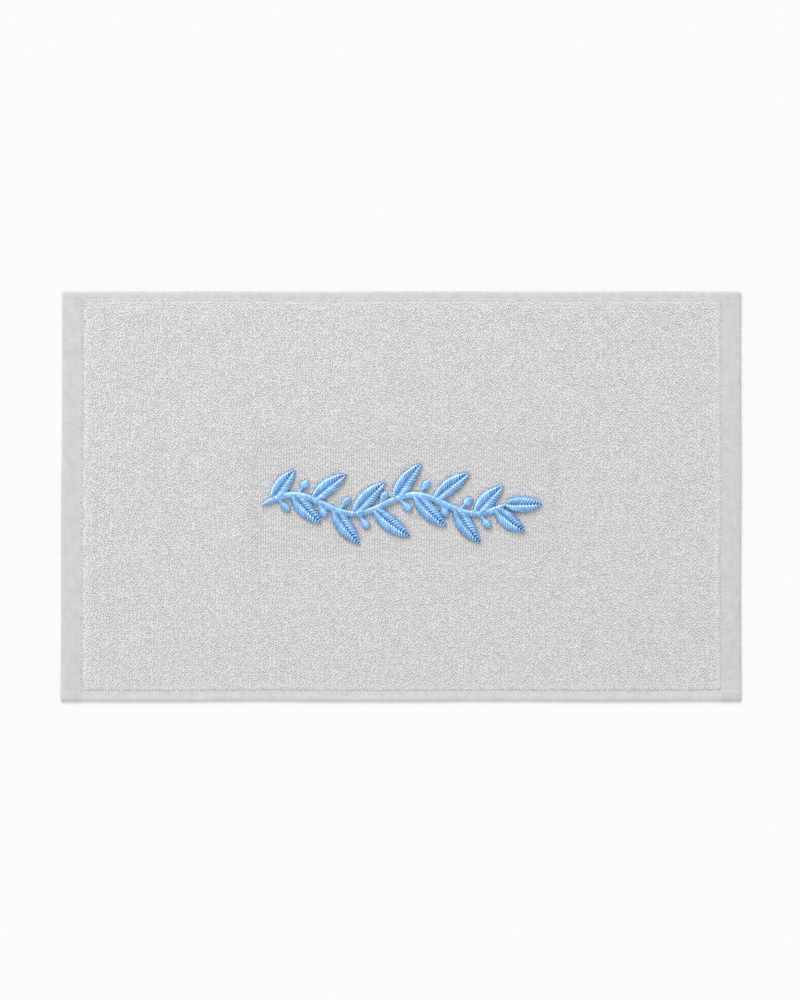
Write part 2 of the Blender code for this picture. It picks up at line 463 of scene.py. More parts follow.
def insets(fromLeft, fromFront):
    # How far in a point lies from the nearer end and side, and from their seams.
    fromRight, fromBack = towel["length"] - fromLeft, towel["width"] - fromFront
    endHem = np.where(fromLeft < fromRight, towel["hemLeft"], towel["hemRight"])
    sideHem = np.where(fromFront < fromBack, towel["hemFront"], towel["hemBack"])
    end, side = np.minimum(fromLeft, fromRight), np.minimum(fromFront, fromBack)
    return end, side, end - endHem, side - sideHem


def rounded(inset, reach):
    # The height of a folded edge over its middle, this far in.
    return rim * np.sqrt(np.clip(1 - (1 - np.minimum(inset, reach) / reach) ** 2, 0, 1))


def overSprig(x, y):
    outX = np.maximum(np.abs(x - sprig["middle"][0]) - sprig["length"] / 2 - towel["dishMargin"], 0)
    outY = np.maximum(np.abs(y - sprig["middle"][1]) - sprig["high"] / 2 - towel["dishMargin"], 0)
    return 1 - ease(np.hypot(outX, outY) / towel["dishBlend"])


def puckers(x, y):
    # Small uneven swells along the hems, from waves given by their pitch in X and Y and their start.
    waves = ((31, 17, 0.3), (-19, 43, 1.7), (53, -29, 4.1), (11, 61, 2.2))
    return sum(np.sin((x / (a * mm) + y / (b * mm)) * 2 * math.pi + c) for a, b, c in waves) / len(waves)


def upperSurface(fromLeft, fromFront):
    end, side, pastEnd, pastSide = insets(fromLeft, fromFront)
    inside = np.minimum(pastEnd, pastSide)
    offRim = np.clip(np.minimum(end, side) / rim, 0, 1)
    rise = np.sin(math.pi / 2 * np.clip(inside / towel["shoulder"], 0, 1))
    seam = np.maximum(tent(inside, towel["seamWide"]), tent(pastEnd, towel["seamWide"]))
    lap = ease(-pastEnd / towel["seamWide"]) * ease(-pastSide / towel["seamWide"])
    x, y = fromLeft - towel["length"] / 2, fromFront - towel["width"] / 2
    field = towel["baseTop"] - towel["hemThick"] - towel["dish"] * overSprig(x, y)
    share = np.clip(fromFront / towel["hemFront"], 0, 1)
    hem = towel["lap"] * lap - towel["seamSink"] * seam + towel["pucker"] * puckers(x, y) * (1 - rise)
    hem = hem + towel["frontFull"] * 27 / 4 * (1 - share) * share**2    # at its fullest the share is 2/3
    return rim + rounded(np.minimum(end, side), towel["roll"]) + offRim * hem + rise * field


def lowerSurface(fromLeft, fromFront):
    end, side, pastEnd, pastSide = insets(fromLeft, fromFront)
    rise = np.sin(math.pi / 2 * np.clip(np.minimum(pastEnd, pastSide) / towel["shoulder"], 0, 1))
    return rim - rounded(np.minimum(end, side), rim) + rise * towel["baseUnder"]


def outline(fromLeft, fromFront):
    # The place in plan of points that would lie this far in on a true rectangle.
    x, y = fromLeft - towel["length"] / 2, fromFront - towel["width"] / 2
    radius = towel["corner"]
    u = np.clip(1 - (towel["length"] / 2 - np.abs(x)) / radius, 0, 1)
    v = np.clip(1 - (towel["width"] / 2 - np.abs(y)) / radius, 0, 1)
    inCorner = (u > 0) & (v > 0)
    pull = np.where(inCorner, np.maximum(u, v) / np.maximum(np.hypot(u, v), 1e-9), 1)
    x = np.where(inCorner, np.sign(x) * (towel["length"] / 2 - radius * (1 - u * pull)), x)
    y = np.where(inCorner, np.sign(y) * (towel["width"] / 2 - radius * (1 - v * pull)), y)
    alongX, alongY = 2 * x / towel["length"], 2 * y / towel["width"]
    turn = 2 * math.pi / towel["wanderPitch"]
    lean = towel["lean"] * alongY * (1 - alongX) / 2
    bowX = towel["wander"] * np.abs(alongX) * np.sin(turn * y + alongX)
    bowY = towel["wander"] * np.abs(alongY) * np.sin(turn * x + alongY)
    inEnd = ease((towel["hemLeft"] - fromLeft) / mm + 0.5) + ease(
        (towel["hemRight"] - towel["length"] + fromLeft) / mm + 0.5)
    spread = towel["spread"] * inEnd * np.clip(-alongY, 0, 1)
    return x + lean + bowX, y + bowY - spread


def stations(span, lowHem, highHem):
    # Distances in from one edge at which the cloth gets a row of points.
    def fromEdge(hem):
        turns = np.radians((0, 20, 40, 60, 76, 90))
        low, high = towel["roll"], hem - towel["seamWide"]
        inner = np.linspace(low, high, max(2, round((high - low) / towel["step"]) + 1))
        shoulder = hem + towel["shoulder"] * np.array((-0.25, 0, 0.25, 0.5, 0.75, 1))
        return np.concatenate((towel["roll"] * (1 - np.cos(turns)), inner[1:], shoulder))

    low, high = fromEdge(lowHem), span - fromEdge(highHem)[::-1]
    field = np.linspace(low[-1], high[0], round((high[0] - low[-1]) / towel["step"]) + 1)
    return np.concatenate((low, field[1:-1], high))


def gridCells(index, order=1):
    corners = (index[:-1, :-1], index[1:, :-1], index[1:, 1:], index[:-1, 1:])
    return np.stack(corners[::order], -1).reshape(-1, 4)


def makeCloth(finish):
    across = stations(towel["length"], towel["hemLeft"], towel["hemRight"])
    along = stations(towel["width"], towel["hemFront"], towel["hemBack"])
    fromLeft, fromFront = np.meshgrid(across, along, indexing="ij")
    x, y = outline(fromLeft, fromFront)
    upper = np.arange(x.size).reshape(x.shape)
    inner = np.zeros(x.shape, bool)
    inner[1:-1, 1:-1] = True
    lower = upper.copy()
    lower[inner] = x.size + np.arange(inner.sum())
    top = np.stack((x, y, upperSurface(fromLeft, fromFront)), -1).reshape(-1, 3)
    under = np.stack((x, y, lowerSurface(fromLeft, fromFront)), -1)[inner]
    faces = np.concatenate((gridCells(upper), gridCells(lower, -1)))
    pastEnd, pastSide = insets(fromLeft, fromFront)[2:]
    field = ease(np.minimum(pastEnd, pastSide) / towel["shoulder"])
    # Painted light and shade on the hems: each is lighter or darker for how the light falls on it
    sidePaintedLight = np.where(fromFront < towel["width"] / 2, towel["frontPaintedLight"], towel["backPaintedShade"])
    shade = 1 + ease(-pastSide / mm) * (sidePaintedLight - 1)
    shade = shade + ease(-pastEnd / mm) * (towel["endPaintedShade"] - shade)
    # Painted shade on the weave just inside the back seam
    atBack = (fromFront > towel["width"] / 2) & (pastEnd > 0)
    shadeIn = towel["backShadeIn"]
    shade = shade - towel["backShade"] * atBack * tent(pastSide - shadeIn, shadeIn)
    # Painted shade on the weave under the lined loops beside the embroidery
    shade = shade - (1 - pile["combedGroundShade"]) * overSprig(x, y)
    mesh = meshOf("cloth", np.concatenate((top, under)), faces=faces.tolist(),
                  field=np.append(field, np.ones(inner.sum())), shade=np.append(shade, shade[inner]))
    layFlat(mesh, sides=2)
    return addPiece("cloth", mesh, finish)


# The sprig's lines, in plan

sprig = {
    "length": 205 * mm,
    "high": 67 * mm,
    "middle": np.array((1 * mm, -6 * mm)),
    "stemHalf": 2.5 * mm,
    "stemWave": 7 * mm,
    "stemWaves": 2,
    "taperFrom": 1 * mm,        # the stem thins towards its ends
    "taper": 9 * mm,
    "joints": 12,
    "leafLong": 33 * mm,
    "leafHalf": 6 * mm,
    "leafFoot": 0.6,
    "leafTip": 0.75,
    "leafShorter": 0.22,
    "leafOpen": math.radians(54),
    "leafBend": math.radians(-18),
    "follow": 0.35,
    "tipLeaf": 0.8,
    "stalkLong": 6 * mm,
    "stalkHalf": 1.3 * mm,
    "berryHalf": 3.3 * mm,
    "berryAhead": 0.18,
}
stitch = {
    "base": 3.0 * mm,           # sunk a little into the pile
    "low": 3.8 * mm,            # heights are counted from here
    "crown": 2.6 * mm,
    "crownHalf": 4 * mm,
    "pitch": 1.5 * mm,          # two strands lie side by side in each rib
    "stemPitch": 1.85 * mm,
    "groove": 0.42 * mm,
    "slant": math.radians(38),  # leaf stitches lean towards the tip
    "padding": 0.3 * mm,        # how far the stitches lie over their underlay
    "thinnest": 0.3 * mm,
    "foot": (0.97, -0.35),      # a rib's foot, as shares of its reach and its height
    "grooveFloor": -0.3,
    # painted shade in the grooves and at the feet of the ribs
    "grooveLit": 0.4,
    "footLit": 0.35,
    "liftRange": (-0.04 * mm, 0.06 * mm),
    "wideRange": (1.0, 1.12),
    "longRange": (0.98, 1.03),
    "seed": 11,
}
stemRun = sprig["length"] - sprig["leafLong"] * sprig["tipLeaf"]


def towards(angle):
    return np.array((math.cos(angle), math.sin(angle)))


def stemPoint(share):
    wave = sprig["stemWave"] * math.sin(2 * math.pi * sprig["stemWaves"] * share)
    return sprig["middle"] + np.array((stemRun * share - sprig["length"] / 2, wave))


def stemAngle(share):
    turn = 2 * math.pi * sprig["stemWaves"]
    return math.atan2(sprig["stemWave"] * turn * math.cos(turn * share), stemRun)


def leafHalf(share):
    foot, tip = sprig["leafFoot"], sprig["leafTip"]
    fullest = foot / (foot + tip)
    peak = fullest**foot * (1 - fullest) ** tip
    return max(sprig["leafHalf"] * share**foot * (1 - share) ** tip / peak, sprig["stalkHalf"] / 2)


def berryHalf(share):
    stalk, berry = sprig["stalkLong"], sprig["berryHalf"]
    pastMiddle = (stalk + 2 * berry) * share - stalk - berry
    disc = math.sqrt(max(berry**2 - pastMiddle**2, 0))
    return max(disc, sprig["stalkHalf"] if pastMiddle < 0 else sprig["stalkHalf"] / 2)


def grownLine(foot, angle, length, bend, halfWidth, step=1 * mm):
    # Points along a line that turns evenly: place, heading and half width.
    count = round(length / step)
    line, place = [], foot.copy()
    for index in range(count + 1):
        heading = angle + bend * index / count
        line.append((place.copy(), heading, halfWidth(index / count)))
        place += towards(heading) * length / count
    return line


def stemLine(step=1 * mm):
    count = round(stemRun / step)
    line = []
    for index in range(count + 1):
        share = index / count
        fromTip = min(share, 1 - share) * stemRun + sprig["taperFrom"]
        half = sprig["stemHalf"] * math.sqrt(min(fromTip / sprig["taper"], 1))
        line.append((stemPoint(share), stemAngle(share), half))
    return line


def sprigLines():
    # The middle line of every satin column, by kind.
    leaves, berries = [], []
    spacing = 1 / sprig["joints"]
    for joint in range(sprig["joints"]):
        share = (joint + 0.5) * spacing
        side = 1 if joint % 2 == 0 else -1
        slope = sprig["follow"] * stemAngle(share)
        length = sprig["leafLong"] * (1 - sprig["leafShorter"] * (2 * share - 1) ** 2)
        leaves.append(grownLine(stemPoint(share), slope + side * sprig["leafOpen"], length,
                                side * sprig["leafBend"], leafHalf))
        if joint < sprig["joints"] - 1:
            foot = stemPoint(share + sprig["berryAhead"] * spacing)
            reach = sprig["stalkLong"] + 2 * sprig["berryHalf"]
            berries.append(grownLine(foot, slope - side * sprig["leafOpen"], reach, 0, berryHalf))
    leaves.append(grownLine(stemPoint(1), 0, sprig["leafLong"] * sprig["tipLeaf"], 0, leafHalf))
    return {"stem": [stemLine()], "leaf": leaves, "berry": berries}


def edges(line):
    # The two edges of a column, in plan.
    places = np.array([place for place, _, _ in line])
    sideways = np.array([towards(heading + math.pi / 2) * half for _, heading, half in line])
    return places + sideways, places - sideways


def footprint(lines):
    # The ground that the columns cover, as flat strips; a guide for the pile.
    places, faces = [], []
    for line in sum(lines.values(), []):
        first = len(places)
        for pair in zip(*edges(line)):
            places += [(*place, 0) for place in pair]
        faces += [(first + 2 * i, first + 2 * i + 1, first + 2 * i + 3, first + 2 * i + 2)
                  for i in range(len(line) - 1)]
    return addObject("footprint", meshOf("footprint", places, faces=faces))


# The embroidery: padding, and ribs of thread across it

# From a column's edge to its middle, as shares of its half width and of its height
satinRise = ((1, 0), (0.97, 0.38), (0.82, 0.68), (0.48, 0.92), (0, 1))      # stem and berries
veinRise = ((1, 0), (0.96, 0.42), (0.82, 0.76), (0.55, 0.92), (0.27, 0.78), (0, 0.42))  # half a leaf


def columnHeight(half):
    return stitch["crown"] * math.sqrt(min(half / stitch["crownHalf"], 1))


def makePadding(lines, finish):
    # A closed form under the stitches, a little smaller than they are.
    places, faces = [], []
    for kind, group in lines.items():
        outward = veinRise if kind == "leaf" else satinRise
        profile = list(outward) + [(-out, up) for out, up in reversed(outward[:-1])]
        for line in group:
            first = len(places)
            for place, heading, half in line:
                sideways = towards(heading + math.pi / 2)
                inner = max(half - stitch["padding"], stitch["thinnest"])
                rise = columnHeight(half) - stitch["padding"]
                for out, up in [(1, None)] + profile + [(-1, None)]:
                    z = stitch["base"] if up is None else stitch["low"] + rise * up
                    places.append((*(place + sideways * inner * out), z))
            faces += ringFaces(first, len(line), len(profile) + 2)
    mesh = faceOutwards(meshOf("padding", places, faces=faces))
    layFlat(mesh)
    return addPiece("padding", mesh, finish)


def ribObject(name, profile):
    # One rib of two strands: a unit long in Y, high in Z and wide in X.
    # Its attribute "lit" is painted shade, which falls in the grooves and where the thread dives into the
    # cloth.
    across = ((-0.5, 0), (-0.39, 0.8), (-0.15, 0.88), (0.0, 0.6), (0.15, 1), (0.4, 0.9), (0.5, 0))
    groove, dim = stitch["groove"] / stitch["crown"], stitch["grooveLit"]
    footOut, footUp = stitch["foot"]
    places, lit = [], []
    for out, up in profile:
        places += [(x, out, max(up - groove * (1 - crest), stitch["grooveFloor"])) for x, crest in across]
        places += [(x, out * footOut, footUp) for x in (0.5, -0.5)]
        lit += [(dim + (1 - dim) * crest) * min(stitch["footLit"] + up, 1) for _, crest in across] + [0, 0]
    mesh = meshOf(name, places, faces=ringFaces(0, len(profile), len(across) + 2), lit=lit)
    return addObject(name, faceOutwards(mesh))


def satinTree():
    # Lays ribs along a column's edge; each reaches from there towards its attribute "far".
    graph, inputs = newTree("satinStitch", {
        "Rib": "Object", "Pitch": "Float", "Wide": "Float", "Share": "Float"})
    curve = graph.node("GeometryNodeMeshToCurve", None, {"Mesh": inputs["Geometry"]})
    evenly = graph.node("GeometryNodeResampleCurve", {"mode": "LENGTH"},
                        {"Curve": curve, "Length": inputs["Pitch"]})
    points = graph.node("GeometryNodeCurveToPoints", {"mode": "EVALUATED"}, {"Curve": evenly})
    span = graph.vectorMath("SUBTRACT", graph.node("GeometryNodeInputPosition"),
                            graph.named("far", "FLOAT_VECTOR"))
    reach = graph.node("ShaderNodeVectorMath", {"operation": "LENGTH"}, {0: span}, "Value")
    aimed = graph.node("FunctionNodeAlignRotationToVector", {"axis": "Y", "pivot_axis": "Z"},
                       {"Vector": span})
    lift, wide, long = [graph.random(*stitch[uneven], inputs["Seed"] + draw) for draw, uneven in
                        enumerate(("liftRange", "wideRange", "longRange"), 1)]
    size = graph.vector(inputs["Wide"] * wide, reach * inputs["Share"] * long, graph.named("rise"))
    stored = graph.store(points, "tone", graph.random(0.0, 1.0, inputs["Seed"] + 4))
    stored = graph.store(stored, "size", size, "FLOAT_VECTOR")
    stored = graph.store(stored, "aim", aimed, "QUATERNION")
    shift = graph.vectorMath("SUBTRACT", graph.vector(0.0, 0.0, lift), graph.scaled(span, inputs["Share"]))
    moved = graph.node("GeometryNodeSetPosition", None, {"Geometry": stored, "Offset": shift})
    ribs = graph.node("GeometryNodeInstanceOnPoints", None, {
        "Points": moved, "Instance": graph.shapeOf(inputs["Rib"]),
        "Rotation": graph.named("aim", "QUATERNION"), "Scale": graph.named("size", "FLOAT_VECTOR")})
    return endTree(graph, ribs, inputs["Finish"])


def seedLines(name, strips):
    # Open polylines with the far end and the height of the rib at each point.
    places, ends, heights, links = [], [], [], []
    for near, far, rises in strips:
        first = len(places)
        places += [(x, y, stitch["low"]) for x, y in near]
        ends += [(x, y, stitch["low"]) for x, y in far]
        heights += rises
        links += [(i, i + 1) for i in range(first, len(places) - 1)]
    return meshOf(name, places, edges=links, far=ends, rise=heights)


def halfLeaves(line):
    # Each half's stitches start at the vein and lean towards the tip.
    places = np.array([place for place, _, _ in line])
    along = np.concatenate(([0], np.cumsum(np.hypot(*np.diff(places, axis=0).T))))
    halves = np.array([half for _, _, half in line])
    starts = np.maximum(along - halves * math.tan(stitch["slant"]), 0)
    veins = np.stack([np.interp(starts, along, places[:, i]) for i in (0, 1)], -1)
    rises = [columnHeight(half) for half in halves]
    return [(edge, veins, rises) for edge in edges(line)]


def makeSatin(lines, finish):
    tree = satinTree()
    fullRib = ribObject("fullRib", satinRise + tuple((-out, up) for out, up in satinRise[-2::-1]))
    halfRib = ribObject("halfRib", veinRise)
    made = []
    for kind in ("stem", "berry", "leaf"):
        name, wide = kind + "Stitches", stitch["stemPitch" if kind == "stem" else "pitch"]
        if kind == "leaf":
            strips = sum((halfLeaves(line) for line in lines[kind]), [])
            values = {"Rib": halfRib, "Pitch": wide / math.cos(stitch["slant"]), "Share": 1.0}
        else:
            strips = [(*edges(line), [columnHeight(half) for _, _, half in line]) for line in lines[kind]]
            values = {"Rib": fullRib, "Pitch": wide, "Share": 0.5}
        values.update({"Wide": wide, "Seed": stitch["seed"], "Finish": finish})
        piece = grow(name, seedLines(name, strips), tree, values)
        layFlat(piece.data)
        made.append(piece)
    dropAll((fullRib, halfRib))
    return made


# The pile: loops of yarn, swirled where they are free and combed flat beside the embroidery

pile = {
    "panels": 4,
    "spacing": 1.7 * mm,
    "loopLong": 2.6 * mm,       # foot to foot
    "yarn": 1.1 * mm,
    "tall": 1.6 * mm,
    "atBorder": 0.55,           # the height of the outermost loops
    "borderWide": 5 * mm,
    "bow": 0.3 * mm,
    "firstRow": 2.2 * mm,       # from the seam
    "edgeRow": 0.5 * mm,
    "edgePitch": 1.4 * mm,
    "edgeStray": 0.25 * mm,
    "edgeTall": 1.05 * mm,
    # painted shade on the outer row of loops, which no neighbours shade
    "edgeLoopShade": -1.0,
    "edgeSpread": 0.8,
    "edgeGrown": (1.0, 1.0, 0.9, 0.6),      # front, back, left and right
    "edgeSeed": 75,
    "lowLoopShade": 1.5,              # painted shade: how much darker low loops near the border are
    "ragged": 1.4 * mm,         # how far the pile's border wanders
    "raggedPace": 2.5,          # its waves are this much shorter than the hems' swells
    "raggedSides": 0.5,
    "tallRange": (0.92, 1.08),
    "longRange": (0.85, 1.15),
    "wideRange": (0.9, 1.08),
    "spread": 1.4,              # radians either way from the swirl
    "swirl": 110.0,             # per metre
    "swirlTurn": 14,            # radians over the noise's range
    "lean": 0.28,
    "clear": 0.05 * mm,         # no lined loop stands closer to a stitch
    "combed": 16 * mm,          # the lined loops reach this far past the zone
    "combedFrom": 0.3,
    "combedRagged": 0.4,
    "combedScale": 140.0,
    "zoneIn": 5 * mm,           # the zone ends this far inside the sprig's ends
    "combedTall": 0.95,
    "combedColumn": 1.91 * mm,
    "combedRow": 1.85 * mm,
    "combedLong": 2.4 * mm,
    "combedYarn": 1.25 * mm,
    "combedStray": (0.1 * mm, 0.9 * mm),
    "combedTurn": 0.16,
    "combedGroundShade": 0.92,       # painted shade on the weave between the lined columns
    "combedSeed": 55,
    "candidates": 8.0e6,        # trial places per square metre
    "seed": 5,
}
underPile = {
    "spacing": 3.1 * mm,
    "loopLong": 4.2 * mm,
    "yarn": 1.9 * mm,
    "tall": 1.55 * mm,          # the towel rests on these
    "firstRow": 3.0 * mm,
    "seed": 95,
}


def loopObject(name, settings, rings=4, bow=0.0, roundness=0.8):
    # An arch of yarn standing on its two feet.
    long, radius = settings["loopLong"] - settings["yarn"], settings["yarn"] / 2
    middles = []
    for ring in range(rings):
        turn = math.pi * ring / (rings - 1)
        lift = math.sin(turn) ** roundness * (settings["tall"] - radius)
        middles.append((-math.cos(turn) * long / 2, bow * (math.sin(turn) - 0.5), lift))
    return strand(name, middles, radius, sides=3)


def pileTree(name, scattered):
    graph, inputs = newTree(name, {
        "Loop": "Object", "Ground": "Object", "Zone": "Object", "Spacing": "Float", "Candidates": "Float",
        "From": "Float", "To": "Float", "Spread": "Float", "Swirl": "Float", "Lean": "Float",
        "Combed": "Float", "Combed from": "Float", "Combed height": "Float", "Face": "Float",
        "Tone": "Float"})
    counter = iter(range(1, 20))

    def random(low, high):
        return graph.random(low, high, inputs["Seed"] + next(counter))

    if scattered:
        points = graph.node("GeometryNodeDistributePointsOnFaces", {"distribute_method": "POISSON"},
                            {"Mesh": inputs["Geometry"], "Distance Min": inputs["Spacing"],
                             "Density Max": inputs["Candidates"], "Seed": inputs["Seed"]})
    else:
        points = graph.node("GeometryNodeMeshToPoints", None, {"Mesh": inputs["Geometry"]})
    place = graph.node("GeometryNodeInputPosition")
    parts = graph.parts(place)
    plan = graph.vector(parts, parts.other("Y"), 0.0)

    def distance(guide):
        return graph.node("GeometryNodeProximity", {"target_element": "FACES"},
                          {0: graph.shapeOf(inputs[guide]), "Source Position": plan}, "Distance")

    flat = graph.node("ShaderNodeMapRange", {"interpolation_type": "SMOOTHSTEP"},
                      {"Value": distance("Zone"), "From Min": 0.0, "From Max": inputs["Combed"],
                       "To Min": 1.0, "To Max": 0.0}) * inputs["Face"]
    stray = (graph.noise(plan, pile["combedScale"]) - 0.5) * pile["combedRagged"] * inputs["Face"]
    edge = flat + stray - inputs["Combed from"]
    if scattered:
        outside = edge.above(0.0) + parts.below(inputs["From"]) + 1 - parts.below(inputs["To"])
    else:
        outside = edge.below(0.0) * inputs["Face"] + distance("Ground").below(pile["clear"])
    kept = graph.node("GeometryNodeDeleteGeometry", {"domain": "POINT"},
                      {"Geometry": points, "Selection": outside.above(0.5)})
    if scattered:
        heading = (graph.noise(place, inputs["Swirl"], detail=1.0) - 0.5) * pile["swirlTurn"]
    else:
        heading = graph.named("heading")
    turn = heading + random(-1.0, 1.0) * inputs["Spread"]
    lean = inputs["Lean"] * (1 - flat)
    angles = graph.vector(random(-1.0, 1.0) * lean + (1 - inputs["Face"]) * math.pi,
                          random(-0.5, 0.5) * lean, turn)
    grown = graph.named("grown")
    tall = (1 - flat * (1 - inputs["Combed height"])) * grown * random(*pile["tallRange"])
    size = graph.vector(random(*pile["longRange"]), random(*pile["wideRange"]), tall)
    # Random tone per loop, plus painted shade on the outer row and on the low loops near the border
    tone = inputs["Tone"] + random(0.0, 1.0) + (grown - 1) * pile["lowLoopShade"]
    loops = graph.node("GeometryNodeInstanceOnPoints", None, {
        "Points": graph.store(kept, "tone", tone), "Instance": graph.shapeOf(inputs["Loop"]),
        "Rotation": graph.node("FunctionNodeEulerToRotation", None, {0: angles}), "Scale": size})
    return endTree(graph, loops, inputs["Finish"])


def strayed(fromLeft, fromFront):
    # The pile's border is a little uneven, less so along the sides.
    shift = pile["ragged"] * puckers(fromLeft * pile["raggedPace"], fromFront * pile["raggedPace"])
    return fromLeft + shift, fromFront + shift * pile["raggedSides"]


def fieldMesh(name, inset, surface, step=3 * mm):
    # The part of the cloth that carries loops.
    xs = np.arange(towel["hemLeft"] + inset, towel["length"] - towel["hemRight"] - inset, step)
    ys = np.arange(towel["hemFront"] + inset, towel["width"] - towel["hemBack"] - inset, step)
    xs = np.append(xs, towel["length"] - towel["hemRight"] - inset)
    ys = np.append(ys, towel["width"] - towel["hemBack"] - inset)
    fromLeft, fromFront = np.meshgrid(xs, ys, indexing="ij")
    toBorder = np.minimum(*insets(fromLeft, fromFront)[2:]) - inset
    grown = pile["atBorder"] + (1 - pile["atBorder"]) * ease(toBorder / pile["borderWide"])
    fromLeft, fromFront = strayed(fromLeft, fromFront)
    x, y = outline(fromLeft, fromFront)
    places = np.stack((x, y, surface(fromLeft, fromFront)), -1).reshape(-1, 3)
    cells = gridCells(np.arange(x.size).reshape(x.shape))
    return meshOf(name, places, faces=cells.tolist(), grown=grown.ravel())


def zoneShape():
    halfX, halfY = sprig["length"] / 2 - pile["zoneIn"], sprig["high"] / 2
    corners = ((-halfX, -halfY), (halfX, -halfY), (halfX, halfY), (-halfX, halfY))
    places = [(*(sprig["middle"] + corner), 0) for corner in corners]
    return addObject("zone", meshOf("zone", places, faces=[(0, 1, 2, 3)]))


def combedMesh(name):
    # Loops in upright columns over the embroidery's surroundings.
    chance = np.random.default_rng(pile["seed"])
    reach = np.array((sprig["length"], sprig["high"])) / 2 + pile["combed"]
    low, high = sprig["middle"] - reach, sprig["middle"] + reach
    x, y = np.meshgrid(np.arange(low[0], high[0], pile["combedColumn"]),
                       np.arange(low[1], high[1], pile["combedRow"]), indexing="ij")
    x = x + chance.normal(0, pile["combedStray"][0], x.shape)
    y = y + chance.uniform(0, pile["combedRow"], (len(x), 1))
    y = y + chance.normal(0, pile["combedStray"][1], x.shape)
    z = upperSurface(x + towel["length"] / 2, y + towel["width"] / 2)
    places = np.stack((x, y, z), -1).reshape(-1, 3)
    return meshOf(name, places, heading=np.full(x.size, math.pi / 2), grown=np.ones(x.size))


def edgeMesh(name):
    # A row of loops all round the field, each pointing out over the seam.
    chance = np.random.default_rng(pile["seed"] + 1)
    inset, pitch = pile["edgeRow"], pile["edgePitch"]
    left, right = towel["hemLeft"] + inset, towel["length"] - towel["hemRight"] - inset
    front, back = towel["hemFront"] + inset, towel["width"] - towel["hemBack"] - inset
    across, along = np.arange(left, right, pitch), np.arange(front, back, pitch)
    fromLeft = np.concatenate((across, across, np.full(along.size, left), np.full(along.size, right)))
    fromFront = np.concatenate((np.full(across.size, front), np.full(across.size, back), along, along))
    counts = (across.size, across.size, along.size, along.size)
    heading = np.repeat((math.pi / 2, math.pi / 2, 0, 0), counts)
    grown = np.repeat(pile["edgeGrown"], counts)
    fromLeft, fromFront = (side + chance.normal(0, pile["edgeStray"], side.size)
                           for side in strayed(fromLeft, fromFront))
    x, y = outline(fromLeft, fromFront)
    places = np.stack((x, y, upperSurface(fromLeft, fromFront)), -1)
    return meshOf(name, places, heading=heading, grown=grown)


def makePile(lines, finish):
    combedYarn = {**pile, "loopLong": pile["combedLong"], "yarn": pile["combedYarn"]}
    guides = {
        "ground": footprint(lines),
        "zone": zoneShape(),
        "loop": loopObject("loop", pile, bow=pile["bow"]),
        "combed": loopObject("combedLoop", combedYarn),
        "edge": loopObject("edgeLoop", {**pile, "tall": pile["edgeTall"]}, bow=pile["bow"]),
        "under": loopObject("underLoop", underPile, rings=3),
    }
    values = {"Loop": guides["loop"], "Ground": guides["ground"], "Zone": guides["zone"],
              "Spacing": pile["spacing"], "Candidates": pile["candidates"], "Spread": pile["spread"],
              "Swirl": pile["swirl"], "Lean": pile["lean"], "Combed": pile["combed"],
              "Combed from": pile["combedFrom"], "Combed height": pile["combedTall"], "Face": 1.0,
              "Tone": 0.0, "Seed": pile["seed"], "Finish": finish}
    scattered, lined = pileTree("terryLoops", True), pileTree("linedLoops", False)
    bounds = np.linspace(-towel["length"] / 2, towel["length"] / 2, pile["panels"] + 1)
    made = []
    for panel, (low, high) in enumerate(zip(bounds, bounds[1:]), 1):
        made.append(grow(f"pile{panel}", fieldMesh("field", pile["firstRow"], upperSurface), scattered,
                         {**values, "From": low, "To": high}))
    made.append(grow("combedPile", combedMesh("combed"), lined,
                     {**values, "Loop": guides["combed"], "Spread": pile["combedTurn"],
                      "Seed": pile["combedSeed"]}))
    made.append(grow("edgePile", edgeMesh("edge"), lined,
                     {**values, "Loop": guides["edge"], "Spread": pile["edgeSpread"], "Combed from": -1.0,
                      "Tone": pile["edgeLoopShade"], "Seed": pile["edgeSeed"]}))
    made.append(grow("underPile", fieldMesh("underField", underPile["firstRow"], lowerSurface), scattered,
                     {**values, "Loop": guides["under"], "Spacing": underPile["spacing"], "Face": 0.0,
                      "Lean": 0.0, "From": bounds[0], "To": bounds[-1], "Seed": underPile["seed"]}))
    for piece in made:
        layFlat(piece.data)
    dropAll(guides.values())
    return made


# Sewing along the hems

sewing = {
    "halfWide": 0.28 * mm,
    "sunk": 0.2 * mm,
    "long": 2.9 * mm,
    "longRange": (0.85, 1.1),
    "pitch": 3.9 * mm,
    "loose": 0.05,              # radians
    "fromSeam": 0.7 * mm,
    "fromEdge": 1.5 * mm,       # the row near the right edge
    "runIn": 0.3,               # the rows start this share of a hem in
    "tickLong": 3.6 * mm,
    "tickPitch": 2.2 * mm,
    "tickTurn": math.radians(72),
    "tickLoose": 0.35,
    "tickFromSeam": 2.0 * mm,
    "tickRunIn": 2.0 * mm,
    "seed": 3,
}


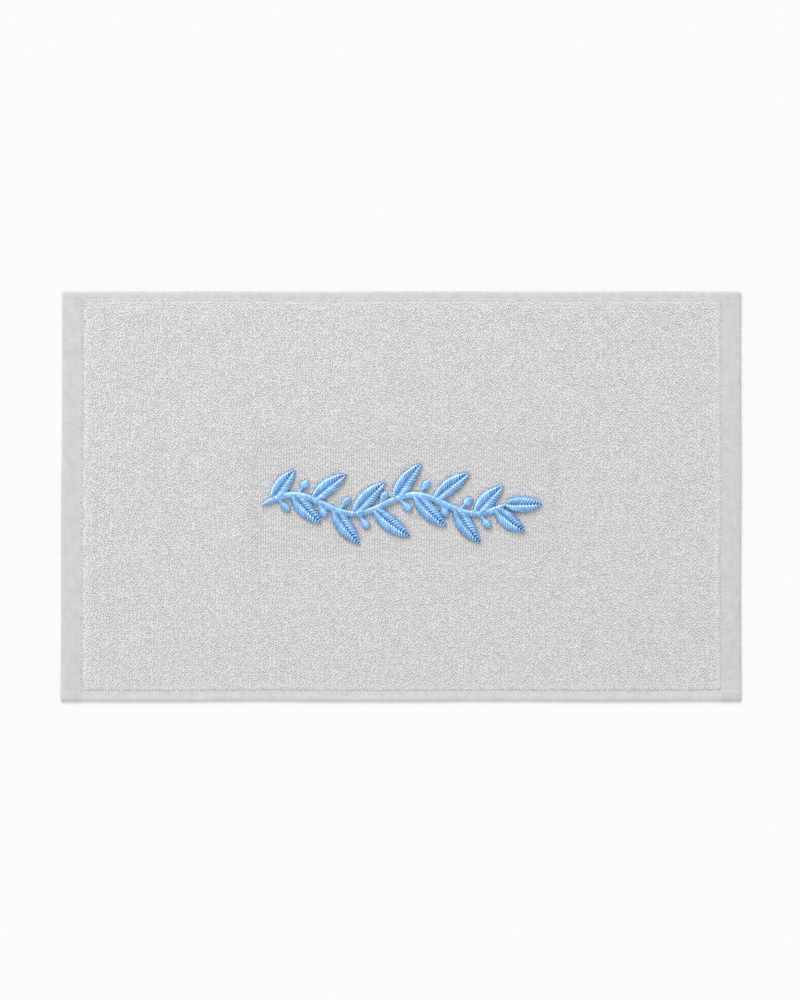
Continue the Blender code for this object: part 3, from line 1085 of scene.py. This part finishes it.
def stitchTree():
    graph, inputs = newTree("hemStitches", {
        "Strand": "Object", "Pitch": "Float", "Turn": "Float", "Loose": "Float"})
    curve = graph.node("GeometryNodeMeshToCurve", None, {"Mesh": inputs["Geometry"]})
    evenly = graph.node("GeometryNodeResampleCurve", {"mode": "LENGTH"},
                        {"Curve": curve, "Length": inputs["Pitch"]})
    points = graph.node("GeometryNodeCurveToPoints", {"mode": "EVALUATED"}, {"Curve": evenly}, "Points")
    parts = graph.parts(graph.named("along", "FLOAT_VECTOR"))
    heading = graph.node("ShaderNodeMath", {"operation": "ARCTAN2"}, {0: parts.other("Y"), 1: parts})
    turn = heading + inputs["Turn"] + graph.random(-1.0, 1.0, inputs["Seed"] + 1) * inputs["Loose"]
    size = graph.vector(graph.random(*sewing["longRange"], inputs["Seed"] + 2), 1.0, 1.0)
    stitches = graph.node("GeometryNodeInstanceOnPoints", None, {
        "Points": points, "Instance": graph.shapeOf(inputs["Strand"]), "Scale": size,
        "Rotation": graph.node("FunctionNodeEulerToRotation", None, {0: graph.vector(0.0, 0.0, turn)})})
    return endTree(graph, stitches, inputs["Finish"])


def seamLine(name, fromLeft, fromFront):
    # A run of sewing that lies on the cloth.
    x, y = outline(fromLeft, fromFront)
    z = upperSurface(fromLeft, fromFront) - sewing["sunk"]
    places = np.stack((x, y, z), -1)
    along = np.gradient(places, axis=0)
    return meshOf(name, places, edges=[(i, i + 1) for i in range(len(places) - 1)], along=along)


def makeSewing(finish):
    def lyingStrand(name, long):
        radius = sewing["halfWide"]
        bends = ((-0.5, -0.6), (-0.36, 0.3), (0, 0.6), (0.36, 0.3), (0.5, -0.6))
        return strand(name, [(share * long, 0, lift * radius) for share, lift in bends], radius, sides=6)

    count = 200
    width, length = towel["width"], towel["length"]
    left, right = towel["hemLeft"], length - towel["hemRight"]
    inFront, inBack = (towel[hem] * sewing["runIn"] for hem in ("hemFront", "hemBack"))
    across = np.linspace(inFront, width - inBack, count)
    along = np.linspace(left + sewing["tickRunIn"], right - sewing["tickRunIn"], count)
    still = np.ones(count)
    lock = {"Strand": lyingStrand("lockStitch", sewing["long"]), "Pitch": sewing["pitch"],
            "Turn": 0.0, "Loose": sewing["loose"]}
    tick = {"Strand": lyingStrand("tickStitch", sewing["tickLong"]), "Pitch": sewing["tickPitch"],
            "Turn": sewing["tickTurn"], "Loose": sewing["tickLoose"]}
    rows = {
        "leftSeamStitches": (still * (left - sewing["fromSeam"]), across, lock),
        "rightSeamStitches": (still * (right + sewing["fromSeam"]), across, lock),
        "rightEdgeStitches": (still * (length - sewing["fromEdge"]), across, lock),
        "frontSeamStitches": (along, still * (towel["hemFront"] - sewing["tickFromSeam"]), tick),
    }
    tree = stitchTree()
    made = []
    for name, (fromLeft, fromFront, values) in rows.items():
        piece = grow(name, seamLine(name, fromLeft, fromFront), tree,
                     {**values, "Seed": sewing["seed"], "Finish": finish})
        layFlat(piece.data)
        made.append(piece)
    dropAll((lock["Strand"], tick["Strand"]))
    return made


# Camera, light and floor

studio = {
    "distance": 2.0,
    "pixel": 0.7353 * mm,       # on the towel, in the photograph's 800 by 1000 frame
    "frameHigh": 1000,
    "offsetX": -1.25,           # pixels from the towel's middle to the frame's
    "offsetY": -3.85,
    "sky": 0.813,
    "key": 1.415,
    "keyTurn": math.radians(112),   # where the light stands: 90 is the back, 180 the left
    "keyHeight": math.radians(37),
    "keySoft": math.radians(28),
    "gloss": 3.6,               # a broad light that only shows as a shine on the thread
    "glossSoft": math.radians(56),
    "floor": 0.9,
}


def makeStudio():
    scene = bpy.context.scene
    scene.view_settings.view_transform = "Standard"
    lens = bpy.data.cameras.new("camera")
    height = studio["distance"]
    lens.lens = lens.sensor_width * height / (studio["pixel"] * studio["frameHigh"])
    camera = addObject("camera", lens)
    camera.location = (studio["offsetX"] * studio["pixel"], studio["offsetY"] * studio["pixel"],
                       height + towel["hemThick"])
    scene.camera = camera

    world = bpy.data.worlds.new("room")
    world.use_nodes = True
    world.node_tree.nodes["Background"].inputs["Color"].default_value = (1, 1, 1, 1)
    world.node_tree.nodes["Background"].inputs["Strength"].default_value = studio["sky"]
    world.cycles_visibility.glossy = False
    scene.world = world

    def addSun(name, strength, softness):
        lamp = bpy.data.lights.new(name, "SUN")
        lamp.energy, lamp.angle = strength, softness
        sun = addObject(name, lamp)
        sun.rotation_euler = (Matrix.Rotation(studio["keyTurn"] + math.pi / 2, 4, "Z")
                              @ Matrix.Rotation(math.pi / 2 - studio["keyHeight"], 4, "X")).to_euler()
        return sun

    addSun("key", studio["key"], studio["keySoft"])
    addSun("shine", studio["gloss"], studio["glossSoft"]).visible_diffuse = False

    white = bpy.data.materials.new("paper")
    white.use_nodes = True
    shader = white.node_tree.nodes["Principled BSDF"]
    shader.inputs["Base Color"].default_value = (*(studio["floor"],) * 3, 1)
    shader.inputs["Roughness"].default_value = 1
    shader.inputs["Specular IOR Level"].default_value = 0
    reach = 6
    corners = [(-reach, -reach, 0), (reach, -reach, 0), (reach, reach, 0), (-reach, reach, 0)]
    addPiece("floor", meshOf("floor", corners, faces=[(0, 1, 2, 3)]), white)


makeStudio()
print("studio set")
clothPiece = makeCloth(cottonFinish())
print("cloth laid")
lines = sprigLines()
terry, thread = terryFinish(), threadFinish()
loops = makePile(lines, terry)
print("pile grown")
padding = makePadding(lines, thread)
satin = makeSatin(lines, thread)
print("sprig embroidered")
seams = makeSewing(sewingFinish())
print("hems sewn")

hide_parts("towel")
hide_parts("embroidery")
for piece in (clothPiece, padding, *loops, *satin, *seams):
    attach(piece, "root")
